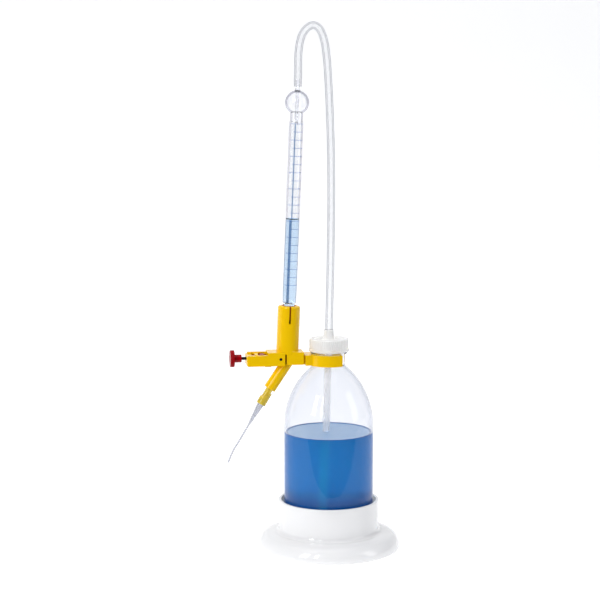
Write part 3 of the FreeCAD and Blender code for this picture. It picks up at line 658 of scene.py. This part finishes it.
axis = ALONG_TIP.to_3x3() @ Vector((0, 0, -1))
TIP_FOOT = 11.8
tip_line = [TIP_START + axis * d for d in (TIP_FOOT, 12.5, 16.8, 18, 22, 26, 30, 34, 35.5, 38, 44, 50, 54)]
bend = [(p[0], p[1]) for p in arc((tip_line[-1].x, tip_line[-1].z), (-82.9, 83.6), (-86.0, 75.8), steps=16)]
tip_line += [Vector((x, 0, z)) for x, z in bend]


TIP_RADIUS = 2.9
CAPILLARY_RADIUS = 0.72
CAPILLARY_BORE = 0.33
TIP_WALL = 0.7
CONE_START = 16.8
CONE_END = 35.0


def tip_radius(distance):
    if distance < CONE_START:
        return TIP_RADIUS
    if distance < CONE_END:
        return TIP_RADIUS - 1.75 * ((distance - CONE_START) / (CONE_END - CONE_START)) ** 0.9
    return max(CAPILLARY_RADIUS, 1.15 - 0.25 * (distance - CONE_END))


tip_radii = []
travelled = TIP_FOOT
for index, place in enumerate(tip_line):
    if index:
        travelled += (place - tip_line[index - 1]).length
    radius = tip_radius(travelled)
    tip_radii.append((radius * MM, max(CAPILLARY_BORE, radius - TIP_WALL) * MM))
tip = hollow_tube("dispensing_tip_skin", [place * MM for place in tip_line], tip_radii, 32)
# The grey colour at the tip's slanting sides is painted shade for the dim surroundings it reflects there.
tip_plastic = surface("tip_plastic", (0.72, 0.73, 0.77), (0.66, 0.67, 0.72), 0.10, 0.2, scale=40, bump=0,
                      see_through=0.9, ior=1.08, passes=0.85, painted_edge_shade=(0.42, 0.43, 0.48), edge_shade_from=0.1,
                      edge_shade_to=0.7)
finish_piece(tip, tip_plastic, "holder", "clear_plastic", "dispensing_tip")


# ---- burette glass, fill tube and titrant column ----
# Borosilicate tube with a ball at the top, a stem for the hose and a nipple held in the tower.
GLASS_RADIUS = 5.85
GLASS_WALL = 1.0
GLASS_BOTTOM = 16.2
BALL_RADIUS = 10.0
BALL_MIDDLE = 208.6
ZERO_TIP = 190.3
MENISCUS = 111.5
# The near-black blue colour at the glass's slanting sides is painted shade for the dim surroundings it
# reflects there.
glass = surface("glass", (0.975, 0.98, 0.99), (0.955, 0.96, 0.98), 0.0, 0.02, scale=20, bump=0,
                see_through=1.0, ior=1.47, passes=0.95, painted_edge_shade=(0.08, 0.08, 0.20), edge_shade_from=0.35,
                edge_shade_to=0.85)


def ball(inset, neck, stem, steps=28):
    radius = BALL_RADIUS - inset
    low, high = -math.acos(neck / radius), math.acos(stem / radius)
    return [(radius * math.cos(low + (high - low) * s / steps),
             BALL_MIDDLE + radius * math.sin(low + (high - low) * s / steps)) for s in range(steps + 1)]


def glass_side(inset, bottom, stem):
    return (profile((2.2 - inset, bottom), (2.2 - inset, 24.0), (4.6 - inset, 27.0, 1.0),
                    (4.6 - inset, 38.6, 1.5), (GLASS_RADIUS - inset, 42.5, 1.5)) +
            fine((GLASS_RADIUS - inset, 42.5), (GLASS_RADIUS - inset, 191.5), 20) +
            profile((GLASS_RADIUS - inset, 191.5, 1.0), (5.3 - inset, 194.0, 1.0), (5.3 - inset, 198.0)) +
            ball(inset, 5.3 - inset, stem))


glass_outline = (glass_side(0, GLASS_BOTTOM, 2.6) +
                 profile((2.1, 219.0), (1.85, 221.2), (1.85, 227.5, 0.3), (1.05, 227.5, 0.2), (1.05, 220.0)) +
                 glass_side(GLASS_WALL, GLASS_BOTTOM, 1.4)[::-1])
burette = turned("burette_tube_skin", glass_outline, steps=96, place=LEANING)
finish_piece(burette, glass, "holder", "glass", "burette_tube")
fill_tube = turned("burette_fill_tube_skin", profile(
    (0.8, ZERO_TIP, 0.15), (1.4, ZERO_TIP + 0.5, 0.3), (1.4, 217.2), (0.8, 217.2)), steps=48, place=LEANING)
finish_piece(fill_tube, glass, "holder", "glass", "burette_fill_tube")

column_radius = GLASS_RADIUS - GLASS_WALL + 0.04
column = turned("burette_titrant_column", profile(
    (0, 17.0), (1.24, 17.0), (1.24, 24.0), (3.64, 27.0, 1.0), (3.64, 38.6, 1.5), (column_radius, 42.5, 1.5),
    (column_radius, MENISCUS + 0.9), (column_radius - 0.25, MENISCUS + 0.4),
    (column_radius - 1.2, MENISCUS - 0.2), (2.2, MENISCUS - 0.55), (0, MENISCUS - 0.6)),
    steps=96, place=LEANING)
burette_blue = surface("burette_titrant", (0.68, 0.82, 0.95), (0.63, 0.79, 0.94), 0.0, 0.0, scale=8,
                       bump=0, see_through=1.0, ior=1.33, passes=0.9)
finish_piece(column, burette_blue, "holder", "titrant", "burette_titrant")


# ---- reading stripe and scale ----
# A white enamel band with a blue line fired on the back of the glass, and blue ring marks round it,
# longer at each whole step.
enamel = surface("enamel", (0.98, 0.985, 0.99), (0.96, 0.97, 0.985), 0.45, 0.55, scale=60, bump=0.02,
                 see_through=0.92, ior=1.05, passes=0.85)
mark_blue = surface("mark_blue", (0.05, 0.14, 0.45), (0.08, 0.20, 0.55), 0.3, 0.45, scale=120, bump=0.02)


def band(name, radius, thick, low, high, first, last, steps=32):
    """Curved strip on the glass from angle first to last, in degrees about the burette's axis."""
    rings = []
    for s in range(steps + 1):
        turn = math.radians(first + (last - first) * s / steps)
        ring = []
        for r, z in ((radius, low), (radius + thick, low), (radius + thick, high), (radius, high)):
            ring.append((LEANING @ Vector((r * math.cos(turn), r * math.sin(turn), z))) * MM)
        rings.append(ring)
    return grid_mesh(name, rings)


dress("reading_stripe", enamel)
stripe_blue = surface("stripe_blue", (0.16, 0.30, 0.52), (0.20, 0.34, 0.56), 0.3, 0.45, scale=120,
                      bump=0.02)
ZERO_MARK = 191.0
MARK_STEP = 6.73
MARK_HALF_WIDTH = 0.16
line = band("stripe_line", 5.855, 0.018, 41.0, ZERO_MARK, 84.5, 96)
finish_piece(line, stripe_blue, "holder", "enamel")
for mark in range(21):
    height = ZERO_MARK - MARK_STEP * mark
    whole = mark % 2 == 0
    ring = band(f"mark_{mark:02d}", GLASS_RADIUS + 0.01, 0.05, height - MARK_HALF_WIDTH,
                height + MARK_HALF_WIDTH,
                -150 if whole else -120, 35 if whole else 5)
    finish_piece(ring, mark_blue, "holder", "enamel")


# ---- floor, backdrop and lights ----
# A pale seamless sweep with an apron in front that throws no light on the piece, a broad soft light
# overhead, tall windows at the left and a weak fill at the right.
SWEEP_HALF_WIDTH = 4.0
APRON_EDGE = -0.24


def studio_floor(name, rows):
    piece = grid_mesh(name, rows, closed_ring=False)
    if piece.data.polygons[0].normal.z < 0:
        piece.data.flip_normals()
    piece.data.materials.append(pale)
    return piece


pale = surface("pale_backdrop", (0.93, 0.93, 0.93), (0.92, 0.92, 0.92), 0.9, 0.95, scale=2, bump=0)
pale.node_tree.nodes["Principled BSDF"].inputs["Emission Color"].default_value = (1, 1, 1, 1)
pale.node_tree.nodes["Principled BSDF"].inputs["Emission Strength"].default_value = 0.36
pale.node_tree.nodes["Principled BSDF"].inputs["Specular IOR Level"].default_value = 0.0
sweep = []
for x in (-SWEEP_HALF_WIDTH, SWEEP_HALF_WIDTH):
    row = [Vector((x, y, 0)) for y in (APRON_EDGE, 0.0, 1.0)]
    row += [Vector((x, 1.0 + 1.0 * math.sin(a), 1.0 - 1.0 * math.cos(a)))
            for a in (math.radians(5 * i) for i in range(1, 19))]
    row += [Vector((x, 2.0, 5.0))]
    sweep.append(row)
backdrop = studio_floor("backdrop", sweep)
apron = studio_floor("apron", [[Vector((x, -5.0, 0)), Vector((x, APRON_EDGE, 0))]
                               for x in (-SWEEP_HALF_WIDTH, SWEEP_HALF_WIDTH)])
apron.visible_glossy = apron.visible_diffuse = False

world = bpy.data.worlds.new("studio")
world.use_nodes = True
sky = world.node_tree
towards = sky.nodes.new("ShaderNodeTexCoord")
split = sky.nodes.new("ShaderNodeSeparateXYZ")
behind = sky.nodes.new("ShaderNodeMapRange")
behind.inputs["From Min"].default_value = -0.5
behind.inputs["From Max"].default_value = 0.55
behind.inputs["To Min"].default_value = 0.06
above = sky.nodes.new("ShaderNodeMapRange")
above.inputs["From Min"].default_value = 0.35
above.inputs["From Max"].default_value = 0.9
brighter = sky.nodes.new("ShaderNodeMath")
brighter.operation = "MAXIMUM"
tint = sky.nodes.new("ShaderNodeMix")
tint.data_type = "RGBA"
tint.inputs["A"].default_value = (0.10, 0.11, 0.14, 1)
tint.inputs["B"].default_value = (0.93, 0.94, 0.96, 1)
sky.links.new(towards.outputs["Generated"], split.inputs["Vector"])
sky.links.new(split.outputs["Y"], behind.inputs["Value"])
sky.links.new(split.outputs["Z"], above.inputs["Value"])
sky.links.new(behind.outputs["Result"], brighter.inputs[0])
sky.links.new(above.outputs["Result"], brighter.inputs[1])
seen = sky.nodes.new("ShaderNodeLightPath")
straight = sky.nodes.new("ShaderNodeMath")
straight.operation = "MAXIMUM"
plain = sky.nodes.new("ShaderNodeMath")
plain.operation = "MAXIMUM"
sky.links.new(seen.outputs["Is Camera Ray"], straight.inputs[0])
sky.links.new(seen.outputs["Is Transmission Ray"], straight.inputs[1])
sky.links.new(brighter.outputs[0], plain.inputs[0])
sky.links.new(straight.outputs[0], plain.inputs[1])
sky.links.new(plain.outputs[0], tint.inputs["Factor"])
sky.links.new(tint.outputs["Result"], sky.nodes["Background"].inputs["Color"])
sky.nodes["Background"].inputs["Strength"].default_value = 0.7
scene.world = world


def softbox(name, place, aim, wide, high, power):
    light = bpy.data.lights.new(name, "AREA")
    light.shape = "RECTANGLE"
    light.size, light.size_y = wide, high
    light.energy = power
    lamp = bpy.data.objects.new(name, light)
    lamp.location = place
    lamp.rotation_euler = (Vector(aim) - Vector(place)).to_track_quat("-Z", "Y").to_euler()
    scene.collection.objects.link(lamp)


softbox("overhead", (-0.2, 0.0, 1.9), (0, 0, 0), 1.8, 1.8, 8.5)
softbox("window_left", (-1.2, -1.0, 0.9), (0, 0, 0.18), 0.30, 0.9, 12)
softbox("window_left_2", (-0.75, -1.35, 0.9), (0, 0, 0.18), 0.14, 0.9, 4.8)
softbox("fill_right", (1.5, -0.7, 0.7), (0, 0, 0.15), 0.6, 1.2, 6)
